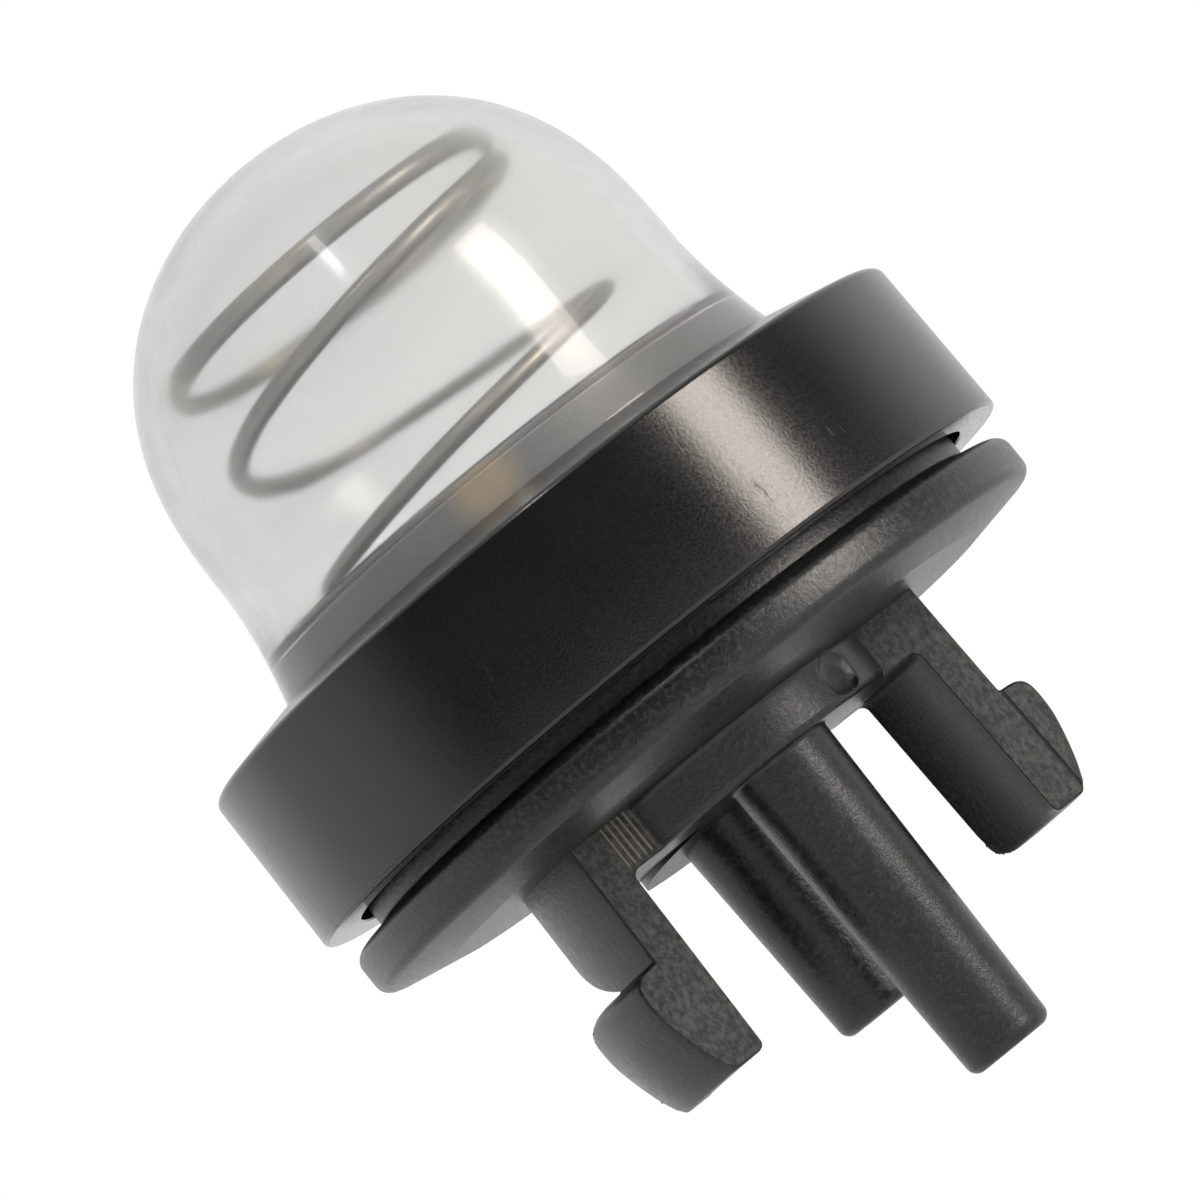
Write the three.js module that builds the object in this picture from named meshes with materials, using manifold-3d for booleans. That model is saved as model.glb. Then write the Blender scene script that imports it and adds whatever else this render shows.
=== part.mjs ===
// A snap-in primer bulb for a small engine's fuel line, in millimetres, +Z towards the dome.
// A thumb squeezes the clear bulb; a rubber check valve in the base draws fuel up one nozzle and sends
// it down the other, and a spring inside the bulb pushes the dome out again. A ring clamps the bulb's
// rim onto the base, and two hooked legs hold the base in a hole in a panel.
// The origin is the centre of the flat seat under the flange. The hooked legs are on the X axis.

import * as THREE from "three";
import { mergeVertices } from "three/addons/utils/BufferGeometryUtils.js";
import Module from "manifold-3d";

// Clearances between pieces
const fitGap = 0.3;
const neckGap = 0.25;
const springGap = 0.15;
const coilGap = 0.4;

// Flange that lies on the panel
const seatRadius = 8.6;
const flangeRadius = 10.65;
const flangeThickness = 1.75;
const rimRise = 0.36;
const rimRound = 0.35;
const rimTop = 1.25;

// Retaining ring round the bulb's foot
const ringRadius = 11;
const ringWall = 1.15;
const ringGroove = 0.5;
const ringTop = 7.5;
const ringTaper = 0.07;
const ringCrownDrop = 0.67;
const ringCornerRadius = 0.5;
const ringEdge = 0.22;
const beadHeight = 0.22;
const beadWidth = 0.7;
const beadRise = 1.2;

// Clear bulb
const domeRadius = 7.36;
const domeTop = 19.25;
const domeCrownRadius = 8;
const domeShoulderRadius = 5;
const bulbWall = 0.6;
const bulbNeckRadius = 7.95;
const bulbNeckTop = 9.7;
const bulbRimThickness = 1.2;
const bulbSeatHeight = 4.9;

// Chamber and collar of the base
const chamberFloor = 3.2;
const collarTop = 8.6;
const collarWall = 0.6;
const collarEdge = 0.2;

// Boss under the flange
const bossRadius = 4.55;
const bossDepth = 1.35;
const bossEdge = 0.2;
const dimpleRadius = 0.65;
const dimpleDepth = 0.35;
const dimpleTurn = -62;
const padRadius = 2.8;
const padDepth = 0.35;

// Snap legs
const legRadius = 6.36;
const legWidth = 4.8;
const legThickness = 0.93;
const legRootThickness = 2;
const legLength = 6.8;
const legSplay = 1.5;
const hookStart = 3.45;
const hookReach = 0.74;
const notchReach = 2.85;
const notchTop = 1.9;
const notchBottom = 4.05;
const notchUpperCurl = 0.55;
const notchLowerCurl = 0.12;

// Hose nozzles
const nozzleSpacing = 5.12;
const nozzleRadius = 1.48;
const nozzleTipRadius = 1.25;
const nozzleTipRound = 0.5;
const nozzleBore = 0.6;
const longNozzle = 10.7;
const shortNozzle = 7.9;

// Valve pocket in the base
const pocketRadius = 1.6;
const pocketDepth = 3.8;
const pocketMouthRadius = 1.25;
const pocketMouthDepth = 0.8;
const crossBore = 0.45;

// Rubber check valve
const umbrellaRadius = 3.9;
const umbrellaThickness = 0.5;
const umbrellaLip = 0.4;
const umbrellaLift = 0.15;
const billLength = 1.5;
const billThickness = 0.5;
const stemEnd = 0.3;
const valveBore = 0.45;
const slitWidth = 0.12;

// Return spring
const wireRadius = 0.275;
const activeTurns = 2.75;
const endTurns = 1;
const endPitch = 0.6;
const pitchEase = 0.21;
const coilTurn = -22;

// Fineness of round shapes
const roundSteps = 60;
const smallSteps = 24;
const wireSides = 8;
const wireStepsPerTurn = 22;

// Sizes that follow from those above
const ringBottom = flangeThickness + ringGroove;
const skirtRadius = ringRadius - ringWall;
const neckRadius = skirtRadius - fitGap;
const lipUnderside = bulbSeatHeight + bulbRimThickness;
const ringHole = bulbNeckRadius + neckGap;
const beadMiddle = ringBottom + beadRise;
const bulbInnerRadius = domeRadius - bulbWall;
const collarRadius = bulbInnerRadius - fitGap;
const chamberRadius = collarRadius - collarWall;
const coilRadius = chamberRadius - coilGap - wireRadius;
const crownCentre = domeTop - domeCrownRadius;
const nozzleOffset = nozzleSpacing / 2;
const pocketFloor = chamberFloor - pocketDepth;
const pocketShoulder = chamberFloor - pocketMouthDepth;
const crossHeight = pocketFloor + crossBore + fitGap;
const radians = THREE.MathUtils.degToRad;

const wasm = await Module();
wasm.setup();

// A closed geometry as a solid whose faces point out
function solidOf(geometry) {
  const bare = geometry.clone();
  bare.deleteAttribute("normal");
  bare.deleteAttribute("uv");
  const merged = mergeVertices(bare, 1e-5);
  const vertices = merged.attributes.position.array;
  const corner = (i) => new THREE.Vector3().fromArray(vertices, 3 * i);
  const faces = [];
  let volume = 0;
  for (let i = 0; i < merged.index.count; i += 3) {
    const [a, b, c] = merged.index.array.slice(i, i + 3);
    if (a === b || b === c || c === a) continue;
    faces.push([a, b, c]);
    volume += corner(a).dot(corner(b).cross(corner(c)));
  }
  const outward = volume > 0 ? faces : faces.map(([a, b, c]) => [a, c, b]);
  return new wasm.Manifold(
    new wasm.Mesh({
      numProp: 3,
      vertProperties: vertices,
      triVerts: new Uint32Array(outward.flat()),
    }),
  );
}

// A solid as a named mesh with a finish of its own
function meshOf(name, solid, finish) {
  const { vertProperties, triVerts, numProp } = solid.getMesh();
  const positions = [];
  for (let i = 0; i < vertProperties.length; i += numProp)
    positions.push(...vertProperties.subarray(i, i + 3));
  const geometry = new THREE.BufferGeometry();
  geometry.setAttribute("position", new THREE.Float32BufferAttribute(positions, 3));
  geometry.setIndex(new THREE.BufferAttribute(triVerts, 1));
  geometry.computeVertexNormals();
  const mesh = new THREE.Mesh(geometry, new THREE.MeshStandardMaterial(finish));
  mesh.name = name;
  return mesh;
}

// The profile, a list of [radius, height], turned round the Z axis
function turned(profile, steps = roundSteps) {
  const points = profile.map(([r, z]) => new THREE.Vector2(r, z));
  return solidOf(new THREE.LatheGeometry(points, steps).rotateX(Math.PI / 2));
}

// The same for a profile that stays off the axis
const turnedRing = (profile, steps) => turned([...profile, profile[0]], steps);

// Points of an arc in a profile, between two angles in degrees counted from the outward direction
function arc(centreRadius, centreHeight, radius, from, to, steps) {
  return Array.from({ length: steps + 1 }, (_, i) => {
    const angle = radians(from + ((to - from) * i) / steps);
    return [centreRadius + radius * Math.cos(angle), centreHeight + radius * Math.sin(angle)];
  });
}

// A cylinder that stands on Z between two heights
function post(radius, from, to, x = 0, y = 0) {
  const geometry = new THREE.CylinderGeometry(radius, radius, to - from, smallSteps);
  return solidOf(geometry.rotateX(Math.PI / 2).translate(x, y, (from + to) / 2));
}

function box(sizeX, sizeY, sizeZ, x, y, z) {
  return solidOf(new THREE.BoxGeometry(sizeX, sizeY, sizeZ).translate(x, y, z));
}

// Flange, boss, neck, chamber, collar and valve pocket, all turned on one axis
function baseBody() {
  return turned([
    [0, -bossDepth],
    [bossRadius - bossEdge, -bossDepth],
    [bossRadius, bossEdge - bossDepth],
    [bossRadius, 0],
    [seatRadius, 0],
    ...arc(flangeRadius - rimRound, rimRise + rimRound, rimRound, -80, 0, 3),
    ...arc(flangeRadius - rimRound, rimTop, rimRound, 0, 60, 2),
    [neckRadius, flangeThickness],
    [neckRadius, beadMiddle - beadWidth / 2],
    [neckRadius + beadHeight, beadMiddle],
    [neckRadius, beadMiddle + beadWidth / 2],
    [neckRadius, bulbSeatHeight],
    [collarRadius, bulbSeatHeight],
    ...arc(collarRadius - collarEdge, collarTop - collarEdge, collarEdge, 0, 90, 2),
    [chamberRadius, collarTop],
    [chamberRadius, chamberFloor],
    [pocketMouthRadius, chamberFloor],
    [pocketMouthRadius, pocketShoulder],
    [pocketRadius, pocketShoulder],
    [pocketRadius, pocketFloor],
    [0, pocketFloor],
  ]);
}

// A plain hose nozzle, with a slight draft and a rounded tip
function nozzle(length, y) {
  const shape = turned(
    [
      [0, -length],
      ...arc(nozzleTipRadius - nozzleTipRound, nozzleTipRound - length, nozzleTipRound, -90, 0, 3),
      [nozzleRadius, -bossDepth],
      [nozzleRadius, bossEdge - bossDepth],
      [0, bossEdge - bossDepth],
    ],
    smallSteps,
  );
  return shape.translate([0, y, 0]);
}

// Two legs cut from one turned wall, each with a thick root and a hook
function snapLegs() {
  const face = (depth) => legRadius + depth * Math.tan(radians(legSplay));
  const sunk = rimRise;
  const root = turnedRing([
    [legRadius - legRootThickness, sunk],
    [legRadius - legRootThickness, -bossDepth],
    [legRadius, -bossDepth],
    [legRadius, sunk],
  ]);
  // how far the hook reaches out, as a share, and how far down that is, as a share of its height
  const hookHeight = legLength - hookStart;
  const hookShape = [
    [0, 0],
    [0.6, 0.03],
    [0.9, 0.08],
    [1, 0.16],
    [1, 0.32],
    [0.85, 0.5],
    [0.5, 0.75],
    [0.12, 0.97],
  ].map(([reach, share]) => [reach * hookReach, share * hookHeight]);
  const wall = turnedRing([
    [face(0) - legThickness, -bossDepth + bossEdge],
    [face(legLength) - legThickness, bossEdge - legLength],
    [face(legLength) - legThickness + bossEdge, -legLength],
    [face(legLength) - bossEdge, -legLength],
    ...hookShape
      .map(([reach, drop]) => [face(hookStart + drop) + reach, -(hookStart + drop)])
      .reverse(),
    [legRadius, -bossDepth + bossEdge],
  ]);
  const slab = box(4 * legRadius, legWidth, 4 * legLength, 0, 0, 0);
  return root.add(wall).intersect(slab);
}

// A rounded notch in the back edge of the leg on the -X side, just above its hook
function keyNotch() {
  const back = legWidth / 2;
  const outline = new THREE.Shape();
  outline.moveTo(back - notchReach, -hookStart);
  outline.quadraticCurveTo(
    back - notchReach / 4,
    notchUpperCurl - hookStart,
    back,
    -notchTop,
  );
  outline.lineTo(back + fitGap, -notchTop);
  outline.lineTo(back + fitGap, -notchBottom);
  outline.lineTo(back, -notchBottom);
  outline.quadraticCurveTo(
    back - notchReach / 4,
    -hookStart - notchLowerCurl,
    back - notchReach,
    -hookStart,
  );
  const depth = 2 * hookReach + 2 * legThickness;
  const geometry = new THREE.ExtrudeGeometry(outline, {
    depth,
    bevelEnabled: false,
    curveSegments: 6,
  });
  // the outline's axes turn onto Y and Z, and its depth onto X
  geometry.applyMatrix4(
    new THREE.Matrix4().makeBasis(
      new THREE.Vector3(0, 1, 0),
      new THREE.Vector3(0, 0, 1),
      new THREE.Vector3(1, 0, 0),
    ),
  );
  return solidOf(geometry.translate(-legRadius - depth / 2, 0, 0));
}

// A low round pad on the boss at the foot of the short nozzle
function nozzlePad() {
  const [from, to] = [-bossDepth - padDepth, bossEdge - bossDepth];
  return post(padRadius, from, to, 0, nozzleOffset).intersect(post(bossRadius - bossEdge, from, to));
}

// A shallow round recess in the side of the boss
function bossDimple() {
  const length = 2 * dimpleDepth;
  const geometry = new THREE.CylinderGeometry(dimpleRadius, dimpleRadius, length, smallSteps);
  geometry.rotateZ(Math.PI / 2).translate(bossRadius, 0, -bossDepth / 2);
  return solidOf(geometry.rotateZ(radians(dimpleTurn)));
}

// The inlet opens under the umbrella, and the outlet leaves the valve pocket through a cross bore
function fuelWays() {
  const inlet = post(nozzleBore, -longNozzle - 1, chamberFloor + 1, 0, -nozzleOffset);
  const outlet = post(nozzleBore, -shortNozzle - 1, crossHeight + crossBore, 0, nozzleOffset);
  const cross = solidOf(
    new THREE.CylinderGeometry(crossBore, crossBore, nozzleOffset, smallSteps / 2).translate(
      0,
      nozzleOffset / 2,
      crossHeight,
    ),
  );
  return inlet.add(outlet).add(cross);
}

function base() {
  return baseBody()
    .add(nozzle(longNozzle, -nozzleOffset))
    .add(nozzle(shortNozzle, nozzleOffset))
    .add(nozzlePad())
    .add(snapLegs())
    .subtract(keyNotch())
    .subtract(bossDimple())
    .subtract(fuelWays());
}

// Its skirt snaps over the base's bead, and its lip holds the bulb's rim down
function retainingRing() {
  const crownOuter = ringRadius - ringTaper - ringCornerRadius;
  const crownEdge = ringTop - ringCrownDrop;
  return turnedRing([
    [skirtRadius, ringBottom],
    [ringRadius - ringEdge, ringBottom],
    [ringRadius, ringBottom + ringEdge],
    ...arc(crownOuter, crownEdge - ringCornerRadius, ringCornerRadius, 0, 75, 4),
    ...arc(ringHole + ringEdge, ringTop - ringEdge, ringEdge, 80, 180, 2),
    [ringHole, lipUnderside],
    [skirtRadius, lipUnderside],
    [skirtRadius, beadMiddle + beadWidth / 2],
    [skirtRadius + beadHeight, beadMiddle],
    [skirtRadius, beadMiddle - beadWidth / 2],
  ]);
}

// The dome's section: a crown arc, a shoulder arc that runs into it, and a straight side
function domeProfile(inset) {
  const spread = domeRadius - domeShoulderRadius;
  const lean = Math.asin(spread / (domeCrownRadius - domeShoulderRadius));
  const shoulderHeight = crownCentre + (domeCrownRadius - domeShoulderRadius) * Math.cos(lean);
  const turn = 90 - THREE.MathUtils.radToDeg(lean);
  return [
    ...arc(spread, shoulderHeight, domeShoulderRadius - inset, 0, turn, 5),
    ...arc(0, crownCentre, domeCrownRadius - inset, turn, 90, 5).slice(1, -1),
    [0, domeTop - inset],
  ];
}

function bulb() {
  const flare = (share) => [
    domeRadius + (bulbNeckRadius - domeRadius) * (1 - share) ** 2,
    ringTop + (bulbNeckTop - ringTop) * share,
  ];
  return turned([
    ...domeProfile(bulbWall).reverse(),
    [bulbInnerRadius, bulbSeatHeight],
    [neckRadius, bulbSeatHeight],
    [neckRadius, lipUnderside],
    [bulbNeckRadius, lipUnderside],
    flare(0),
    flare(0.33),
    flare(0.66),
    flare(1),
    ...domeProfile(0),
  ]);
}

// An umbrella that covers the inlet, on a stem whose bead holds it in the pocket's mouth,
// and a duckbill below that lets fuel out only
function checkValve() {
  const stem = pocketMouthRadius - fitGap;
  const bead = pocketRadius - fitGap;
  const beadTop = pocketShoulder - fitGap;
  const under = chamberFloor + umbrellaLift;
  const bottom = pocketFloor + stemEnd;
  const body = turned(
    [
      [0, bottom],
      [stem, bottom],
      [stem, beadTop - bead / 2],
      [bead, beadTop - bead / 4],
      [bead, beadTop],
      [stem, beadTop],
      [stem, under],
      [umbrellaRadius - umbrellaLip, chamberFloor],
      [umbrellaRadius, chamberFloor],
      [umbrellaRadius, chamberFloor + umbrellaThickness / 2],
      [stem, under + umbrellaThickness],
      [0, under + umbrellaThickness],
    ],
    2 * smallSteps,
  );
  const side = 2 * bead;
  const lean = Math.atan((stem - billThickness / 2) / billLength);
  const flat = (way) =>
    solidOf(
      new THREE.BoxGeometry(side, side, 4 * billLength)
        .translate(side / 2, 0, 0)
        .rotateY(lean)
        .translate(billThickness / 2, 0, bottom)
        .rotateZ(way),
    );
  const bore = post(valveBore, bottom + billLength / 2, under + 2 * umbrellaThickness);
  const slit = box(slitWidth, 2 * valveBore, 2 * billLength, 0, 0, bottom);
  const bill = box(2 * side, 2 * side, billLength, 0, 0, bottom + billLength / 2);
  const flats = flat(0).add(flat(Math.PI)).intersect(bill);
  return body.subtract(flats).subtract(bore).subtract(slit);
}

// The spring's centre line, from its closed bottom turn to its closed top turn
class SpringLine extends THREE.Curve {
  constructor() {
    super();
    this.arcLengthDivisions = 1000;
    const reach = domeCrownRadius - bulbWall - springGap - wireRadius;
    this.bottom = chamberFloor + springGap + wireRadius;
    this.top = crownCentre + Math.sqrt(reach ** 2 - coilRadius ** 2);
    this.pitch = (this.top - this.bottom - 2 * endTurns * endPitch) / activeTurns;
  }
  height(turn) {
    const active = THREE.MathUtils.clamp(turn - endTurns, 0, activeTurns);
    const rise = active * (1 - pitchEase) + (pitchEase * active ** 2) / activeTurns;
    return this.bottom + (turn - active) * endPitch + rise * this.pitch;
  }
  getPoint(t, target = new THREE.Vector3()) {
    const turn = t * (activeTurns + 2 * endTurns);
    const angle = radians(coilTurn) + 2 * Math.PI * (turn - endTurns - activeTurns);
    const [x, y] = [coilRadius * Math.cos(angle), coilRadius * Math.sin(angle)];
    return target.set(x, y, this.height(turn));
  }
}

function returnSpring() {
  const section = new THREE.Shape(
    Array.from({ length: wireSides }, (_, i) => {
      const angle = (2 * Math.PI * (i + 0.5)) / wireSides;
      return new THREE.Vector2(wireRadius * Math.cos(angle), wireRadius * Math.sin(angle));
    }),
  );
  return solidOf(
    new THREE.ExtrudeGeometry(section, {
      steps: Math.round(wireStepsPerTurn * (activeTurns + 2 * endTurns)),
      extrudePath: new SpringLine(),
      bevelEnabled: false,
    }),
  );
}

const primerBulb = new THREE.Group();
primerBulb.add(
  meshOf("base", base(), { color: 0x2b2c2e, roughness: 0.55 }),
  meshOf("retaining_ring", retainingRing(), { color: 0x1b1b1c, roughness: 0.42 }),
  meshOf("bulb", bulb(), {
    color: 0xe6e6e2,
    roughness: 0.12,
    transparent: true,
    opacity: 0.35,
  }),
  meshOf("return_spring", returnSpring(), { color: 0xb9b4a8, roughness: 0.3, metalness: 1 }),
  meshOf("check_valve", checkValve(), { color: 0x3a2f28, roughness: 0.7 }),
);

export default primerBulb;
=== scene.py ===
# The looks of a snap-in primer bulb: a clear squeeze dome over a return spring, a satin ring that clamps
# it, and a black moulded base with hooked legs and two hose nozzles. Lengths are in metres, +Z is towards
# the dome, and the origin is the middle of the flange's flat underside.

import math

import bmesh
import bpy
from bpy.props import FloatProperty, FloatVectorProperty, IntProperty, PointerProperty
from mathutils import Matrix, Vector


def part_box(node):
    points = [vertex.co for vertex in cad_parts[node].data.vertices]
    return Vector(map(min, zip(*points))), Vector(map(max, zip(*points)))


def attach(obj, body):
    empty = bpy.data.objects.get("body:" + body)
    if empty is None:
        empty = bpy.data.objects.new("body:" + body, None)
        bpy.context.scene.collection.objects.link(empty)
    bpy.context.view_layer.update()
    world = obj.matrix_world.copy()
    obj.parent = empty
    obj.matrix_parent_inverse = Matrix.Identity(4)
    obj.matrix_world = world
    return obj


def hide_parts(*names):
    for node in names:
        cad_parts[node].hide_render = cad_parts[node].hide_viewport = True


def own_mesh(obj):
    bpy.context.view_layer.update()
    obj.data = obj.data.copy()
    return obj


bl_info = {
    "name": "Primer Bulb",
    "version": (1, 0, 0),
    "blender": (4, 5, 0),
    "location": "View3D > Sidebar > Primer Bulb",
    "description": "Builds the visible pieces of a snap-in primer bulb and the studio round it",
    "category": "Object",
}

MM = 0.001
SHARP_FROM = math.radians(33)

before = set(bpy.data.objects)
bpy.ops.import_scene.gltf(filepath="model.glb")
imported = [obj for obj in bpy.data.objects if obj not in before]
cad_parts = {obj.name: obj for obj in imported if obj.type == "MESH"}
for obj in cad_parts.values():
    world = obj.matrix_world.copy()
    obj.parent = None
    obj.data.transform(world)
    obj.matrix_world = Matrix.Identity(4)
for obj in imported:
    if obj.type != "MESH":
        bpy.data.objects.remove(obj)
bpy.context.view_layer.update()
base_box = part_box("base")
bulb_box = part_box("bulb")
spring_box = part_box("return_spring")


# Settings


def length(name, description, millimetres):
    """A length that is shown in the scene's unit."""
    return FloatProperty(
        name=name, description=description, default=millimetres * MM, unit="LENGTH", precision=5
    )


def angle(name, description, degrees):
    return FloatProperty(
        name=name, description=description, default=math.radians(degrees), subtype="ANGLE"
    )


def colour(name, description, *rgb):
    return FloatVectorProperty(
        name=name, description=description, default=rgb, subtype="COLOR", size=3, min=0, max=1
    )


def share(name, description, value):
    return FloatProperty(
        name=name, description=description, default=value, subtype="FACTOR", min=0, max=1
    )


def plain_number(name, description, value):
    return FloatProperty(name=name, description=description, default=value)


def count(name, description, value):
    return IntProperty(name=name, description=description, default=value, min=3)


class BaseSizes(bpy.types.PropertyGroup):
    flange_radius: length("Flange radius", "Outer radius of the flange on the panel", 10.65)
    flange_top: length("Flange top", "Height of the flange's upper face", 1.75)
    rim_rise: length("Rim rise", "How far the flange's rim stands off the panel", 0.4)
    rim_top: length("Rim top", "Height of the rim's upper corner", 1.516)
    rim_round: length("Rim rounding", "Radius of the rim's corners", 0.35)
    seat_radius: length("Seat radius", "Outer radius of the flat face on the panel", 8.6)
    neck_radius: length("Neck radius", "Radius of the neck inside the ring", 9.55)
    bulb_seat: length("Bulb seat", "Height of the face under the bulb's rim", 4.9)
    collar_radius: length("Collar radius", "Outer radius of the collar inside the bulb", 6.46)
    collar_wall: length("Collar wall", "Thickness of the collar", 0.6)
    collar_top: length("Collar top", "Height of the collar's upper edge", 8.6)
    chamber_floor: length("Chamber floor", "Height of the floor that the valve lies on", 3.2)
    boss_radius: length("Boss radius", "Radius of the boss under the flange", 4.55)
    boss_depth: length("Boss depth", "How far the boss stands out under the flange", 1.35)
    pad_radius: length("Pad radius", "Radius of the pad round the short nozzle", 2.8)
    pad_depth: length("Pad depth", "How far the pad stands out under the boss", 0.35)
    dimple_radius: length("Dimple radius", "Radius of the recess in the boss's side", 0.65)
    dimple_depth: length("Dimple depth", "Depth of the recess in the boss's side", 0.35)
    dimple_turn: angle("Dimple turn", "Where the recess is, counted from +X", -62)


class LegSizes(bpy.types.PropertyGroup):
    radius: length("Leg radius", "Radius of the legs' outer faces", 6.36)
    width: length("Leg width", "Width of a leg", 4.8)
    thickness: length("Leg thickness", "Thickness of a leg below its root", 0.93)
    root: length("Root thickness", "Thickness of a leg at its root", 2.0)
    reach_down: length("Leg length", "How far a leg hangs under the flange", 6.8)
    splay: angle("Leg splay", "How far a leg leans out", 1.5)
    hook_start: length("Hook start", "How far the hook's upper face is under the flange", 3.45)
    notch_reach: length("Notch reach", "How far the notch runs in from the leg's edge", 2.85)
    notch_top: length("Notch top", "How far the notch's upper corner is under the flange", 1.9)
    notch_bottom: length("Notch bottom", "How far its lower corner is under the flange", 4.05)
    foot_round: length("Foot rounding", "Radius of the legs' lower corners on the +Y side", 0.6)
    edge: length("Edge rounding", "Width of the rounding along the legs' edges", 0.07)


class NozzleSizes(bpy.types.PropertyGroup):
    spacing: length("Nozzle spacing", "Distance between the nozzles' middles", 5.12)
    root_radius: length("Root radius", "Radius of a nozzle at its root", 1.48)
    tip_radius: length("Tip radius", "Radius of a nozzle at its tip", 1.25)
    tip_round: length("Tip rounding", "Radius of a nozzle's rounded tip", 0.62)
    bore: length("Bore radius", "Radius of a nozzle's fuel way", 0.6)
    long_reach: length("Long nozzle", "How far the long nozzle hangs under the flange", 10.7)
    short_reach: length("Short nozzle", "How far the short nozzle hangs under the flange", 7.9)


class RingSizes(bpy.types.PropertyGroup):
    radius: length("Ring radius", "Outer radius of the retaining ring", 11.0)
    bottom: length("Ring bottom", "Height of the ring's lower edge", 2.25)
    top: length("Ring top", "Height of the ring's inner upper edge", 7.5)
    hole: length("Ring hole", "Radius of the hole round the bulb", 8.2)
    wall: length("Ring wall", "Thickness of the ring's skirt", 1.15)
    lip: length("Lip underside", "Height of the face on the bulb's rim", 6.1)
    taper: length("Ring taper", "How much slimmer the ring is at its upper corner", 0.07)
    crown_drop: length("Crown drop", "How far the upper face falls towards the corner", 0.67)
    corner: length("Corner rounding", "Radius of the ring's upper corner", 0.22)
    edge: length("Edge rounding", "Radius of the ring's other edges", 0.12)


class BulbSizes(bpy.types.PropertyGroup):
    radius: length("Dome radius", "Radius of the dome where its sides stand upright", 7.4)
    shoulder: length("Shoulder height", "Height at which the sides stand upright", 11.0)
    wall: length("Wall", "Thickness of the dome", 0.6)
    neck_radius: length("Neck radius", "Radius of the bulb inside the ring's hole", 8.0)
    neck_top: length("Neck top", "Height at which the bulb reaches that radius", 7.4)
    foot_top: length("Foot top", "Height up to which the wall grips the collar", 8.5)
    rim_top: length("Rim top", "Height of the upper face of the clamped rim", 6.1)
    rim_radius: length("Rim radius", "Outer radius of the clamped rim", 9.55)


class SpringSizes(bpy.types.PropertyGroup):
    wire: length("Wire radius", "Radius of the spring's wire", 0.275)
    working_turns: FloatProperty(
        name="Working turns", description="Turns that stand apart", default=2.75, min=1
    )
    closed_turns: FloatProperty(
        name="Closed turns", description="Close turns at each end", default=1, min=0
    )
    closed_pitch: length("Closed pitch", "Rise of a close turn", 0.6)
    pitch_ease: share("Pitch growth", "How much the pitch grows towards the dome", 0.21)
    last_turn: angle("Last turn", "Where the last working turn ends", -22)
    steps: count("Steps per turn", "Straight pieces in one turn of wire", 96)
    sides: count("Wire sides", "Sides of the wire's round section", 14)


class Finishes(bpy.types.PropertyGroup):
    moulding: colour("Moulding", "Colour of the base's black moulding", 0.0092, 0.0098, 0.0102)
    satin: colour("Ring", "Colour of the ring's satin plastic", 0.0098, 0.0102, 0.0098)
    shell: colour("Shell", "Tint of the bulb's clear wall", 0.89, 0.895, 0.888)
    wire: colour("Wire", "Colour of the spring's drawn wire", 0.24, 0.23, 0.21)
    rubber: colour("Rubber", "Colour of the valve's rubber", 0.03, 0.024, 0.02)
    floor: colour("Floor", "Colour of the studio's floor", 0.8, 0.8, 0.8)


class Studio(bpy.types.PropertyGroup):
    azimuth: angle("Azimuth", "How far the camera stands round to the left", -22.39)
    elevation: angle("Elevation", "How far the camera stands above the level", -5.2)
    roll: angle("Roll", "How far the object leans to the left in the picture", 39.17)
    distance: length("Distance", "Distance from the camera to the object's middle", 180)
    middle: length("Middle height", "Height of the point that the camera looks at", 6.0)
    lens: plain_number("Lens", "Focal length in millimetres, for a sensor 36 mm wide", 210.6)
    shift_x: plain_number("Shift X", "How far the picture is shifted sideways", 0.0249)
    shift_y: plain_number("Shift Y", "How far the picture is shifted upwards", -0.0295)
    floor_drop: length("Floor drop", "How far the floor is under the long nozzle", 9)
    world: share("World light", "Strength of the even light from all round", 0.56)
    dim_side: share("Dim side", "How bright the room's dim side looks in glossy faces", 0.03)
    dim_floor: share("Dim floor", "How bright the floor's dim side looks in glossy faces", 0.12)


class PrimerBulb(bpy.types.PropertyGroup):
    base: PointerProperty(type=BaseSizes)
    legs: PointerProperty(type=LegSizes)
    nozzles: PointerProperty(type=NozzleSizes)
    ring: PointerProperty(type=RingSizes)
    bulb: PointerProperty(type=BulbSizes)
    spring: PointerProperty(type=SpringSizes)
    finishes: PointerProperty(type=Finishes)
    studio: PointerProperty(type=Studio)


# Outlines, as lists of (radius, height)


def rounded(corners, steps=5):
    """A closed outline whose corners (radius, height, rounding) are turned into small arcs."""
    points = []
    for i, (radius, height, rounding) in enumerate(corners):
        here = Vector((radius, height))
        if rounding <= 0:
            points.append(here)
            continue
        before = Vector(corners[i - 1][:2]) - here
        after = Vector(corners[(i + 1) % len(corners)][:2]) - here
        half = before.angle(after) / 2
        reach = min(rounding / math.tan(half), before.length * 0.49, after.length * 0.49)
        rounding = reach * math.tan(half)
        bisector = (before.normalized() + after.normalized()).normalized()
        centre = here + bisector * rounding / math.sin(half)
        first = here + before.normalized() * reach - centre
        last = here + after.normalized() * reach - centre
        turn = first.angle_signed(last)
        for k in range(steps + 1):
            part = first.copy()
            part.rotate(Matrix.Rotation(-turn * k / steps, 2))
            points.append(centre + part)
    return [(p.x, p.y) for p in points]


def through(points, steps=6):
    """A smooth line through the points, with a few steps between each two."""
    line = []
    for i in range(len(points) - 1):
        a = Vector(points[max(i - 1, 0)])
        b, c = Vector(points[i]), Vector(points[i + 1])
        d = Vector(points[min(i + 2, len(points) - 1)])
        for k in range(steps):
            t = k / steps
            line.append(
                0.5
                * (
                    2 * b
                    + (c - a) * t
                    + (2 * a - 5 * b + 4 * c - d) * t**2
                    + (3 * b - a - 3 * c + d) * t**3
                )
            )
    return [tuple(p) for p in line] + [tuple(points[-1])]


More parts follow.
